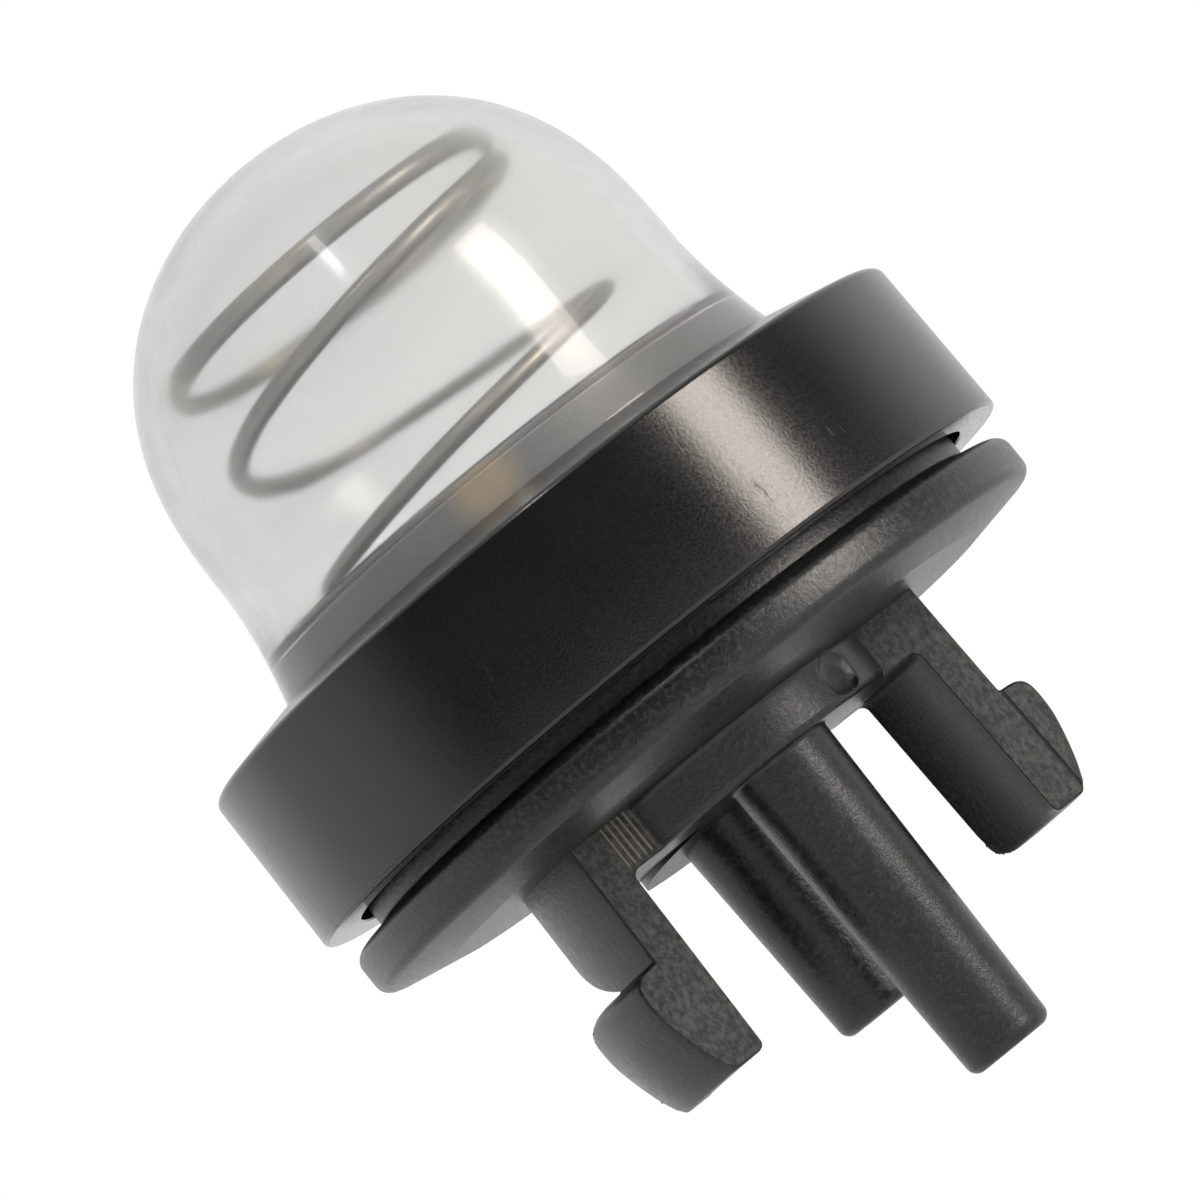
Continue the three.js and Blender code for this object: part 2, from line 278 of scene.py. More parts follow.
def bent(start, control, end, steps=10):
    """A curve from start to end that is drawn towards the control point."""
    start, control, end = Vector(start), Vector(control), Vector(end)
    parts = [k / steps for k in range(steps + 1)]
    return [tuple(start * (1 - t) ** 2 + control * 2 * t * (1 - t) + end * t**2) for t in parts]


# Meshes


def shaded(mesh, sharp_from=SHARP_FROM):
    """The mesh with smooth faces and with sharp edges where it bends by more than an angle."""
    mesh.shade_smooth()
    mesh.set_sharp_from_angle(angle=sharp_from)
    return mesh


def mesh_from(name, shape):
    """The bmesh as a mesh with its faces outwards and smooth between soft edges."""
    bmesh.ops.remove_doubles(shape, verts=shape.verts, dist=1e-8)
    bmesh.ops.recalc_face_normals(shape, faces=shape.faces)
    mesh = bpy.data.meshes.new(name)
    shape.to_mesh(mesh)
    shape.free()
    return shaded(mesh)


def turned(name, outline, steps=160, x=0.0, y=0.0):
    """A closed solid: the outline turned round an upright axis."""
    shape = bmesh.new()
    rings = []
    for radius, height in outline:
        if radius < 1e-7:
            rings.append([shape.verts.new((x, y, height))])
            continue
        turns = (2 * math.pi * k / steps for k in range(steps))
        rings.append(
            [shape.verts.new((x + radius * math.cos(t), y + radius * math.sin(t), height)) for t in turns]
        )
    for lower, upper in zip(rings, rings[1:] + rings[:1]):
        if len(lower) == len(upper) == 1:
            continue
        for k in range(steps):
            corners = [lower[k % len(lower)], lower[(k + 1) % len(lower)]]
            corners += [upper[(k + 1) % len(upper)], upper[k % len(upper)]]
            shape.faces.new(list(dict.fromkeys(corners)))
    return mesh_from(name, shape)


def drawn(name, outline, levels):
    """A closed solid: copies of a flat outline of (x, y) points, drawn through the levels.

    A level is a function from a point of the outline to its place.
    """
    shape = bmesh.new()
    loops = [[shape.verts.new(level(p)) for p in outline] for level in levels]
    for lower, upper in zip(loops, loops[1:]):
        for k in range(len(outline)):
            j = (k + 1) % len(outline)
            shape.faces.new([lower[k], lower[j], upper[j], upper[k]])
    shape.faces.new(loops[0][::-1])
    shape.faces.new(loops[-1])
    return mesh_from(name, shape)


def settled(name, mesh, *modifiers):
    """The mesh with the modifiers (kind, settings) applied to it."""
    work = bpy.data.objects.new(name, mesh)
    bpy.context.scene.collection.objects.link(work)
    for kind, settings in modifiers:
        modifier = work.modifiers.new(kind.title(), kind)
        for key, value in settings.items():
            setattr(modifier, key, value)
    seen = work.evaluated_get(bpy.context.evaluated_depsgraph_get())
    result = bpy.data.meshes.new_from_object(seen)
    bpy.data.objects.remove(work)
    result.name = name
    return result


def carved(mesh, tool):
    """The mesh with the tool's shape cut out of it."""
    cutter = bpy.data.objects.new("cutter", tool)
    bpy.context.scene.collection.objects.link(cutter)
    cut = {"operation": "DIFFERENCE", "solver": "EXACT", "object": cutter}
    result = settled(mesh.name, mesh, ("BOOLEAN", cut))
    bpy.data.objects.remove(cutter)
    return result


def softened(mesh, width):
    """The mesh with its sharp edges rounded."""
    bevel = {
        "limit_method": "ANGLE",
        "angle_limit": math.radians(40),
        "width": width,
        "segments": 3,
        "use_clamp_overlap": False,
    }
    return shaded(settled(mesh.name, mesh, ("BEVEL", bevel)))


def together(name, meshes):
    """One mesh of several closed shells."""
    shape = bmesh.new()
    for mesh in meshes:
        shape.from_mesh(mesh)
    mesh = bpy.data.meshes.new(name)
    shape.to_mesh(mesh)
    shape.free()
    return mesh


def place(name, mesh, material, slot, *nodes):
    """Links a finished piece that stands for CAD nodes and rides on the base."""
    mesh.materials.clear()
    mesh.materials.append(material)
    piece = bpy.data.objects.new(name, mesh)
    bpy.context.scene.collection.objects.link(piece)
    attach(piece, "base")
    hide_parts(*nodes)
    return piece


# Node trees


class Field:
    """A socket that can be reckoned with: each sign adds a Math node to its tree."""

    def __init__(self, tree, socket):
        self.tree, self.socket = tree, socket

    def math(self, operation, *others):
        node = self.tree.nodes.new("ShaderNodeMath")
        node.operation = operation
        for slot, value in enumerate((self, *others)):
            if isinstance(value, Field):
                self.tree.links.new(value.socket, node.inputs[slot])
            else:
                node.inputs[slot].default_value = value
        return Field(self.tree, node.outputs[0])

    def __add__(self, other):
        return self.math("ADD", other)

    def __sub__(self, other):
        return self.math("SUBTRACT", other)

    def __mul__(self, other):
        return self.math("MULTIPLY", other)

    def __truediv__(self, other):
        return self.math("DIVIDE", other)

    def between(self, low, high, to_low=0.0, to_high=1.0):
        """This value from low to high as a value from to_low to to_high, with soft ends."""
        node = self.tree.nodes.new("ShaderNodeMapRange")
        node.interpolation_type = "SMOOTHSTEP"
        self.tree.links.new(self.socket, node.inputs["Value"])
        for name, value in zip(("From Min", "From Max", "To Min", "To Max"), (low, high, to_low, to_high)):
            node.inputs[name].default_value = value
        return Field(self.tree, node.outputs["Result"])


def measured(tree, operation, vector, other):
    """One number from two vectors, such as their dot product or the distance between them."""
    node = tree.nodes.new("ShaderNodeVectorMath")
    node.operation = operation
    node.inputs[1].default_value = other
    tree.links.new(vector, node.inputs[0])
    return Field(tree, node.outputs["Value"])


def ray_kinds(tree):
    """Whether a ray is seen directly or through a clear wall, and whether in a glossy face."""
    rays = tree.nodes.new("ShaderNodeLightPath")
    seen = Field(tree, rays.outputs["Is Camera Ray"])
    seen = seen.math("MAXIMUM", Field(tree, rays.outputs["Is Transmission Ray"]))
    return seen, Field(tree, rays.outputs["Is Glossy Ray"])


class Finish:
    """A procedural material on a Principled shader, in millimetres of Object coordinates."""

    def __init__(self, name):
        self.material = bpy.data.materials.new(name)
        self.material.use_nodes = True
        self.tree = self.material.node_tree
        self.shader = self.tree.nodes["Principled BSDF"]
        self.output = self.tree.nodes["Material Output"]
        self.place = self.tree.nodes.new("ShaderNodeTexCoord").outputs["Object"]

    def node(self, kind, **values):
        node = self.tree.nodes.new(kind)
        for key, value in values.items():
            setattr(node, key, value)
        return node

    def join(self, source, target):
        self.tree.links.new(source.socket if isinstance(source, Field) else source, target)

    def set(self, **values):
        """Sets the shader's own sockets, with spaces written as underscores."""
        for key, value in values.items():
            socket = self.shader.inputs[key.replace("_", " ")]
            if isinstance(value, (Field, bpy.types.NodeSocket)):
                self.join(value, socket)
            else:
                socket.default_value = value

    def scaled(self, *stretch):
        """Object coordinates, with 1 for a millimetre times the stretch."""
        mapping = self.node("ShaderNodeMapping")
        self.join(self.place, mapping.inputs["Vector"])
        mapping.inputs["Scale"].default_value = [1000 * s for s in stretch]
        return mapping.outputs["Vector"]

    def noise(self, scale, detail=3.0, rough=0.5, stretch=(1, 1, 1), vector=None):
        noise = self.node("ShaderNodeTexNoise")
        self.join(vector or self.scaled(*stretch), noise.inputs["Vector"])
        noise.inputs["Scale"].default_value = scale
        noise.inputs["Detail"].default_value = detail
        noise.inputs["Roughness"].default_value = rough
        return Field(self.tree, noise.outputs[0])

    def blend(self, amount, first, second):
        """A colour that goes from first to second with the amount."""
        mix = self.node("ShaderNodeMix", data_type="RGBA")
        self.join(amount, mix.inputs["Factor"])
        for socket, value in ((mix.inputs[6], first), (mix.inputs[7], second)):
            if isinstance(value, bpy.types.NodeSocket):
                self.join(value, socket)
            else:
                socket.default_value = (*value, 1)
        return mix.outputs[2]

    def relief(self, height, depth, strength=1.0):
        """Bumps of the height, depth metres high where it is 1."""
        bump = self.node("ShaderNodeBump")
        bump.inputs["Strength"].default_value = strength
        bump.inputs["Distance"].default_value = depth
        self.join(height, bump.inputs["Height"])
        self.join(bump.outputs["Normal"], self.shader.inputs["Normal"])

    def part(self, vector, axis):
        """One of the three numbers of a vector."""
        split = self.node("ShaderNodeSeparateXYZ")
        self.join(vector, split.inputs[0])
        return Field(self.tree, split.outputs[axis])


def dim(colour, factor):
    return [min(1.0, c * factor) for c in colour]


def moulded_plastic(tint):
    """Black nylon with a spark-eroded grain, torn, paler and browner on the legs' cut ends.

    One leg has fine ridges at its root, painted pale as a highlight on them, the other a seam along its
    hook, and the collar a straw-coloured patch. The legs' inner faces are made duller as painted shade, so
    that they look as dark as faces in shade.
    """
    finish = Finish("black_moulding")
    grain = finish.noise(6.5, detail=4, rough=0.65)
    cloud = finish.noise(0.35, detail=2)
    normal = finish.node("ShaderNodeTexCoord").outputs["Normal"]
    across, height = finish.part(finish.place, "X"), finish.part(finish.place, "Z")
    off_axis = across.math("ABSOLUTE")
    # Painted shade: the legs' inner faces, turned towards the axis, get a lower specular level so that
    # they look dark as if shaded.
    painted_shade_inner = (finish.part(normal, "X") * across).between(-0.5 * MM, -2 * MM)
    painted_shade_inner = painted_shade_inner * off_axis.between(3.3 * MM, 3.5 * MM) * height.between(0.2 * MM, 0)
    ends = finish.part(normal, "Y").math("ABSOLUTE").between(0.9, 0.98)
    ends = ends * off_axis.between(3.7 * MM, 3.85 * MM) * height.between(0.2 * MM, 0)
    torn = finish.noise(6.0, detail=5, rough=0.75, stretch=(1.2, 1.2, 0.8))
    ridge_pitch, seam_place, seam_lean = 0.19 * MM, 5.95 * MM, 0.026
    straw_patch_middle = (-2.82 * MM, -5.83 * MM, 8.2 * MM)
    ridges = (across * (2 * math.pi / ridge_pitch)).math("SINE")
    near_root = ends * height.between(-1.3 * MM, -1.1 * MM) * across.between(-3.9 * MM, -4.0 * MM)
    ridges = ridges * near_root * across.between(-5.05 * MM, -4.85 * MM)
    even = finish.blend(cloud.between(0.3, 0.7), dim(tint, 0.7), dim(tint, 1.2))
    speckled = finish.blend(grain.between(0.45, 0.75), even, dim(tint, 4.2))
    dark_tear, pale_tear = dim(tint, 2.5), (tint[0] * 13.5, tint[1] * 12.6, tint[2] * 11.2)
    tears = finish.blend(torn.between(0.34, 0.7), dark_tear, pale_tear)
    seam = (across + height * seam_lean - seam_place).math("ABSOLUTE")
    seam = seam.between(0.02 * MM, 0.07 * MM, 1, 0)
    seam = seam * height.between(-3.6 * MM, -3.4 * MM, 1, 0) * ends
    tears = finish.blend(seam, tears, dim(tint, 0.4))
    # Painted highlight: the ridges at one leg's root are coloured pale, standing in for light glinting on
    # them; their bumps are real relief.
    ridge_highlights = finish.blend(ridges.between(0.1, 0.9), tears, (0.3, 0.27, 0.21))
    # A straw-coloured patch on the collar's outside, round a point near its upper edge.
    straw_patch = measured(finish.tree, "DISTANCE", finish.place, straw_patch_middle)
    straw_patch = straw_patch.between(0.3 * MM, 1.3 * MM, 0.9, 0)
    moulded = finish.blend(ends, speckled, ridge_highlights)
    finish.set(
        Base_Color=finish.blend(straw_patch, moulded, (0.3, 0.19, 0.05)),
        Roughness=grain.between(0.3, 0.7, 0.28, 0.4) + ends * 0.2,
        Specular_IOR_Level=painted_shade_inner * -0.6 + 0.8,
        Specular_Tint=(0.95, 0.99, 1, 1),
    )
    bumps = grain * (ends * -1.0 + 1.0) + torn * ends * 5.0 + ridges * 1.5 - seam * 4.0
    finish.relief(bumps, 0.02 * MM, 0.8)
    return finish.material


def satin_plastic(tint):
    """Smooth black plastic with a fine sheen, faint upright rubs and a few dull scuffs."""
    finish = Finish("satin_black_ring")
    grain = finish.noise(13, detail=3)
    cloud = finish.noise(0.25, detail=2)
    rubs = finish.noise(1.1, detail=5, rough=0.7, stretch=(2.5, 2.5, 0.35))
    scuffs = rubs.between(0.6, 0.68) * cloud.between(0.5, 0.62)
    scratch = finish.noise(0.9, detail=1, stretch=(4, 4, 0.35)).between(0.79, 0.82)
    even = finish.blend(cloud.between(0.3, 0.7), dim(tint, 0.8), dim(tint, 1.3))
    worn = finish.blend(scuffs, even, dim(tint, 0.5))
    finish.set(
        Base_Color=finish.blend(scratch, worn, dim(tint, 5)),
        Roughness=grain.between(0.3, 0.7, 0.17, 0.24) + scuffs * 0.25 + scratch * 0.1,
        Specular_IOR_Level=0.85,
    )
    finish.relief(grain + rubs * 0.05, 0.0045 * MM, 0.6)
    return finish.material


def clear_shell(tint):
    """Clear polyurethane that is a little milky, more so where the wall is thick, with a wavy gloss."""
    finish = Finish("clear_bulb")
    waves = finish.noise(0.32, detail=2)
    height = finish.part(finish.place, "Z")
    haze = height.between(8.4 * MM, 8.8 * MM, 0.2, 0.09)
    finish.set(
        Base_Color=(*tint, 1),
        Roughness=waves.between(0.3, 0.7, 0.13, 0.17),
        IOR=1.3,
        Transmission_Weight=haze * -1.0 + 1.0,
        Specular_IOR_Level=0.3,
        Coat_Weight=0.3,
        Coat_Roughness=0.03,
        Coat_IOR=1.49,
    )
    finish.relief(waves, 0.1 * MM, 0.3)
    lamp_light = finish.node("ShaderNodeBsdfTransparent")
    lamp_light.inputs["Color"].default_value = (*[c**0.5 for c in tint], 1)
    rays = finish.node("ShaderNodeLightPath")
    mix = finish.node("ShaderNodeMixShader")
    finish.join(rays.outputs["Is Shadow Ray"], mix.inputs["Fac"])
    finish.join(finish.shader.outputs[0], mix.inputs[1])
    finish.join(lamp_light.outputs[0], mix.inputs[2])
    finish.join(mix.outputs[0], finish.output.inputs["Surface"])
    depth = finish.node("ShaderNodeVolumeAbsorption")
    depth.inputs["Color"].default_value = (0.5, 0.5, 0.48, 1)
    depth.inputs["Density"].default_value = 150
    finish.join(depth.outputs[0], finish.output.inputs["Volume"])
    return finish.material


def drawn_wire(tint):
    """Spring steel with fine lines along the wire and a few dark and straw-coloured patches."""
    finish = Finish("spring_wire")
    along = finish.node("ShaderNodeAttribute", attribute_name="wire_along").outputs["Fac"]
    around = finish.node("ShaderNodeAttribute", attribute_name="wire_around").outputs["Fac"]
    join = finish.node("ShaderNodeCombineXYZ")
    finish.join(Field(finish.tree, along) * 900.0, join.inputs[0])
    finish.join(Field(finish.tree, around) * 26.0, join.inputs[1])
    lines = finish.noise(1.0, detail=3, vector=join.outputs[0])
    patches = finish.noise(0.45, detail=3)
    straw = (tint[0] * 1.5, tint[1] * 1.42, tint[2] * 1.15)
    metal = finish.blend(patches.between(0.5, 0.75), dim(tint, 0.8), straw)
    finish.set(
        Base_Color=finish.blend(lines.between(0.55, 0.8), metal, dim(tint, 0.45)),
        Metallic=1.0,
        Roughness=lines.between(0.3, 0.7, 0.26, 0.42),
    )
    finish.relief(lines, 0.01 * MM, 0.5)
    return finish.material


def moulded_rubber(tint):
    """Dull brown-black rubber with a fine bloom."""
    finish = Finish("valve_rubber")
    bloom = finish.noise(3, detail=4)
    finish.set(
        Base_Color=finish.blend(bloom.between(0.35, 0.75), dim(tint, 0.8), dim(tint, 2.0)),
        Roughness=bloom.between(0.3, 0.7, 0.6, 0.8),
    )
    finish.relief(bloom, 0.02 * MM, 0.6)
    return finish.material


# Pieces


def base_body(sizes):
    """Flange, boss, neck, collar and chamber, turned on one axis."""
    s = sizes
    pocket, mouth = 1.6 * MM, 1.25 * MM
    chamber = s.collar_radius - s.collar_wall
    return turned(
        "base_body",
        rounded(
            [
                (0, -s.boss_depth, 0),
                (s.boss_radius, -s.boss_depth, 0.22 * MM),
                (s.boss_radius, 0, 0.18 * MM),
                (s.seat_radius, 0, 0.25 * MM),
                (s.flange_radius, s.rim_rise, s.rim_round),
                (s.flange_radius, s.rim_top, s.rim_round),
                (s.neck_radius, s.flange_top, 0.1 * MM),
                (s.neck_radius, s.bulb_seat, 0),
                (s.collar_radius, s.bulb_seat, 0),
                (s.collar_radius, s.collar_top, 0.2 * MM),
                (chamber, s.collar_top, 0.2 * MM),
                (chamber, s.chamber_floor, 0.3 * MM),
                (mouth, s.chamber_floor, 0.08 * MM),
                (mouth, s.chamber_floor - 0.8 * MM, 0),
                (pocket, s.chamber_floor - 0.8 * MM, 0),
                (pocket, s.chamber_floor - 3.8 * MM, 0),
                (0, s.chamber_floor - 3.8 * MM, 0),
            ]
        ),
        steps=192,
    )


def boss_dimple(sizes):
    """The solid that cuts the shallow round recess in the boss's side."""
    way = Matrix.Rotation(sizes.dimple_turn, 4, "Z")
    circle = [
        (sizes.dimple_radius * math.cos(a), sizes.dimple_radius * math.sin(a))
        for a in (2 * math.pi * k / 32 for k in range(32))
    ]
    # How far out of the boss's side as a share of the depth, and how wide as a share of the radius
    bowl = [(-0.45, 0.3), (-0.42, 0.55), (-0.3, 0.8), (-0.1, 0.97), (0.3, 1.1), (1.5, 1.4)]

    def level(sink, spread):
        depth = sizes.boss_radius + sizes.dimple_depth * sink
        return lambda p: way @ Vector((depth, p[0] * spread, p[1] * spread - sizes.boss_depth / 2))

    return drawn("dimple", circle, [level(sink, spread) for sink, spread in bowl])


def nozzle_pad(sizes, offset):
    """The low pad behind the short nozzle, whose underside slopes down from the boss's middle."""
    limit = sizes.boss_radius - 0.05 * MM
    outline = []
    for k in range(96):
        turn = 2 * math.pi * k / 96
        point = Vector((sizes.pad_radius * math.cos(turn), offset + sizes.pad_radius * math.sin(turn)))
        outline.append(tuple(point * min(1, limit / point.length)))
    start, end = offset - sizes.pad_radius, limit
    top = -sizes.boss_depth + 0.3 * MM

    def underside(p):
        slope = (p[1] - start) / (end - start)
        return Vector((p[0], p[1], -sizes.boss_depth - sizes.pad_depth * slope))

    return drawn("nozzle_pad", outline, [underside, lambda p: Vector((p[0], p[1], top))])


def nozzle(sizes, name, reach, y, boss_depth):
    """A hose nozzle with its fuel way, a rounded tip and a small flare at its root."""
    inside = -boss_depth + 0.3 * MM
    outline = rounded(
        [
            (0, inside + 0.1 * MM, 0),
            (0, inside, 0),
            (sizes.bore, inside, 0),
            (sizes.bore, -reach, 0.08 * MM),
            (sizes.tip_radius, -reach, sizes.tip_round),
            (sizes.root_radius, -boss_depth, 0.2 * MM),
            (sizes.root_radius + 0.22 * MM, -boss_depth + 0.02 * MM, 0),
            (sizes.root_radius, inside + 0.1 * MM, 0),
        ],
        steps=7,
    )
    return turned(name, outline, steps=72, y=y)


def filled(outline, gap):
    """The outline with points added where two of them are further apart than the gap."""
    points = []
    for i, point in enumerate(outline):
        here, there = Vector(point), Vector(outline[(i + 1) % len(outline)])
        parts = max(1, round((there - here).length / gap))
        points += [tuple(here.lerp(there, k / parts)) for k in range(parts)]
    return points


def snap_leg(sizes, side):
    """A leg with its hook on the +X or -X side."""
    s = sizes
    end, root_end, buried = s.reach_down, 1.35 * MM, 0.36 * MM

    def face(drop):
        """The radius of the outer face this far under the flange."""
        return s.radius + drop * math.tan(s.splay)

    # How far the hook stands out, and how far under its start, in millimetres
    bulge = [(0, 0), (0.5, 0.07), (0.74, 0.36), (0.745, 1.1), (0.62, 1.75), (0.38, 2.55), (0.15, 3.1)]
    hook = [
        (face(s.hook_start + drop * MM) + reach * MM, -s.hook_start - drop * MM, 0)
        for reach, drop in through(bulge)
    ]
    outline = rounded(
        [
            (s.radius - s.root, buried, 0),
            (s.radius - s.root, -root_end, 0.16 * MM),
            (face(root_end) - s.thickness, -root_end, 0.22 * MM),
            (face(end) - s.thickness, -end, 0.2 * MM),
            (face(end) - 0.04 * MM, -end, 0.16 * MM),
            *hook[::-1],
            (face(root_end), -root_end, 0),
            (s.radius, buried, 0),
        ]
    )
    outline = filled(outline, 0.35 * MM)
    stations = [s.width * (k / 12 - 0.5) for k in range(11)]
    stations += [s.width / 2 - s.foot_round * (1 - math.sin(math.pi / 16 * k)) for k in range(9)]

    def level(y):
        past = max(0.0, y - s.width / 2 + s.foot_round)
        lowest = -end + s.foot_round - math.sqrt(s.foot_round**2 - past**2)
        return lambda p: (side * math.sqrt(p[0] ** 2 - y**2), y, max(p[1], lowest))

    return drawn("leg", outline, [level(y) for y in stations])


def leg_notch(sizes):
    """The solid that cuts the rounded notch in the back edge of the leg on the -X side."""
    s = sizes
    back = s.width / 2
    tip = (back - s.notch_reach, -s.hook_start)
    upper = bent(tip, (back - s.notch_reach / 4, -s.hook_start + 0.55 * MM), (back, -s.notch_top))
    lower = bent((back, -s.notch_bottom), (back - s.notch_reach / 4, -s.hook_start - 0.12 * MM), tip)
    past = back + MM
    outline = [*upper, (past, -s.notch_top), (past, -s.notch_bottom), *lower[:-1]]
    sides = (-s.radius - 2 * MM, -s.radius + 2 * MM)
    return drawn("notch", outline, [lambda p, x=x: (x, p[0], p[1]) for x in sides])


class PRIMERBULB_OT_base(bpy.types.Operator):
    """Build the black moulded base with its legs and nozzles"""

    bl_idname = "primer_bulb.base"
    bl_label = "Base"

    def execute(self, context):
        settings = context.scene.primer_bulb
        sizes, legs, nozzles = settings.base, settings.legs, settings.nozzles
        offset = nozzles.spacing / 2
        shells = [
            carved(base_body(sizes), boss_dimple(sizes)),
            nozzle_pad(sizes, offset),
            nozzle(nozzles, "long_nozzle", nozzles.long_reach, -offset, sizes.boss_depth),
            nozzle(nozzles, "short_nozzle", nozzles.short_reach, offset, sizes.boss_depth),
            softened(snap_leg(legs, 1), legs.edge),
            softened(carved(snap_leg(legs, -1), leg_notch(legs)), legs.edge),
        ]
        finish = moulded_plastic(settings.finishes.moulding)
        place("moulded_base", together("moulded_base", shells), finish, "black_moulding", "base")
        return {"FINISHED"}


class PRIMERBULB_OT_ring(bpy.types.Operator):
    """Build the satin ring that clamps the bulb's rim"""

    bl_idname = "primer_bulb.ring"
    bl_label = "Retaining Ring"

    def execute(self, context):
        settings = context.scene.primer_bulb
        s = settings.ring
        outline = rounded(
            [
                (s.radius - s.wall, s.bottom, 0.05 * MM),
                (s.radius, s.bottom, s.edge),
                (s.radius - s.taper, s.top - s.crown_drop, s.corner),
                (s.hole, s.top, s.edge),
                (s.hole, s.lip, 0),
                (s.radius - s.wall, s.lip, 0),
            ],
            steps=8,
        )
        finish = satin_plastic(settings.finishes.satin)
        mesh = turned("satin_ring", outline, steps=224)
        place("satin_ring", mesh, finish, "satin_black_ring", "retaining_ring")
        return {"FINISHED"}


class PRIMERBULB_OT_bulb(bpy.types.Operator):
    """Build the clear squeeze bulb"""

    bl_idname = "primer_bulb.bulb"
    bl_label = "Clear Bulb"

    def execute(self, context):
        settings = context.scene.primer_bulb
        s, collar = settings.bulb, settings.base.collar_radius
        top = bulb_box[1].z

        def dome(radius, crown, steps):
            """The dome from its upright side to its crown."""
            points = []
            for k in range(steps + 1):
                turn = math.pi / 2 * k / steps
                rise = math.sin(turn) ** 1.15
                half = radius * math.sqrt(max(0.0, 1 - rise**2.55))
                points.append((0 if k == steps else half, s.shoulder + (crown - s.shoulder) * rise))
            return points

        def flare(height):
            """The outer radius below the shoulder."""
            drop = max(0.0, s.shoulder - height) / (s.shoulder - s.neck_top)
            return s.radius + (s.neck_radius - s.radius) * min(1.0, drop) ** 1.7

        inner = s.radius - s.wall
        grip = collar - 0.01 * MM
        sides = [s.rim_top + (s.shoulder - s.rim_top) * k / 16 for k in range(16)]
        low = [(s.rim_radius, bulb_box[0].z), (s.rim_radius, s.rim_top)]
        outer = [(flare(z), z) for z in sides] + dome(s.radius, top, 48)
        inside = dome(inner, top - s.wall, 48)[::-1]
        throat = [(inner, s.shoulder), (inner, s.foot_top + 0.3 * MM)]
        throat += bent(throat[1], (inner, s.foot_top), (grip, s.foot_top), 4)[1:]
        outline = [*low, *outer, *inside[:-1], *throat, (grip, bulb_box[0].z)]
        mesh = turned("clear_bulb", outline, steps=160)
        piece = place("clear_bulb", mesh, clear_shell(settings.finishes.shell), "clear_bulb", "bulb")
        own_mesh(piece)
        return {"FINISHED"}


def coil_tree(wire_finish):
    """A node tree that winds a spring of wire with close turns at both ends."""
    tree = bpy.data.node_groups.new("Wound Spring", "GeometryNodeTree")
    numbers = ("Wire Radius", "Coil Radius", "Bottom", "Top", "Working Turns", "Closed Turns")
    numbers += ("Closed Pitch", "Pitch Growth", "Last Turn")
    sockets = dict.fromkeys(numbers, "NodeSocketFloat")
    sockets |= dict.fromkeys(("Steps per Turn", "Wire Sides"), "NodeSocketInt")
    source = tree.nodes.new("NodeGroupInput")
    for name, kind in sockets.items():
        tree.interface.new_socket(name=name, in_out="INPUT", socket_type=kind)
    tree.interface.new_socket(name="Spring", in_out="OUTPUT", socket_type="NodeSocketGeometry")
    inputs = {name: Field(tree, source.outputs[name]) for name in sockets}

    def node(kind, **values):
        made = tree.nodes.new(kind)
        for key, value in values.items():
            setattr(made, key, value)
        return made

    def link(start, end):
        tree.links.new(start.socket if isinstance(start, Field) else start, end)

    working, closed = inputs["Working Turns"], inputs["Closed Turns"]
    turns = working + closed * 2.0
    steps = (turns * inputs["Steps per Turn"]).math("ROUND")
    line = node("GeometryNodeMeshLine", mode="OFFSET")
    link(steps + 1.0, line.inputs["Count"])
    curve = node("GeometryNodeMeshToCurve")
    link(line.outputs[0], curve.inputs[0])

    turn = Field(tree, node("GeometryNodeInputIndex").outputs[0]) / steps * turns
    active = (turn - closed).math("MAXIMUM", 0.0).math("MINIMUM", working)
    growth = inputs["Pitch Growth"]
    rise = active * (growth * -1.0 + 1.0) + growth * active * active / working
    span = inputs["Top"] - inputs["Bottom"] - closed * inputs["Closed Pitch"] * 2.0
    height = inputs["Bottom"] + (turn - active) * inputs["Closed Pitch"] + rise * span / working
    way = inputs["Last Turn"] + (turn - closed - working) * (2 * math.pi)
    spot = node("ShaderNodeCombineXYZ")
    link(way.math("COSINE") * inputs["Coil Radius"], spot.inputs[0])
    link(way.math("SINE") * inputs["Coil Radius"], spot.inputs[1])
    link(height, spot.inputs[2])
    wound = node("GeometryNodeSetPosition")
    link(curve.outputs[0], wound.inputs["Geometry"])
    link(spot.outputs[0], wound.inputs["Position"])

    along = node("GeometryNodeStoreNamedAttribute", data_type="FLOAT", domain="POINT")
    along.inputs["Name"].default_value = "wire_along"
    link(wound.outputs[0], along.inputs["Geometry"])
    link(node("GeometryNodeSplineParameter").outputs["Length"], along.inputs["Value"])
    circle = node("GeometryNodeCurvePrimitiveCircle")
    link(inputs["Wire Sides"], circle.inputs["Resolution"])
    link(inputs["Wire Radius"], circle.inputs["Radius"])
    around = node("GeometryNodeStoreNamedAttribute", data_type="FLOAT", domain="POINT")
    around.inputs["Name"].default_value = "wire_around"
    half_way = (Field(tree, node("GeometryNodeSplineParameter").outputs["Factor"]) - 0.5).math("ABSOLUTE")
    link(circle.outputs["Curve"], around.inputs["Geometry"])
    link(half_way, around.inputs["Value"])
    wire = node("GeometryNodeCurveToMesh")
    wire.inputs["Fill Caps"].default_value = True
    link(along.outputs[0], wire.inputs["Curve"])
    link(around.outputs[0], wire.inputs["Profile Curve"])
    real = node("GeometryNodeRealizeInstances")
    link(wire.outputs[0], real.inputs[0])
    finish = node("GeometryNodeSetMaterial")
    finish.inputs["Material"].default_value = wire_finish
    link(real.outputs[0], finish.inputs["Geometry"])
    link(finish.outputs[0], node("NodeGroupOutput").inputs[0])
    return tree


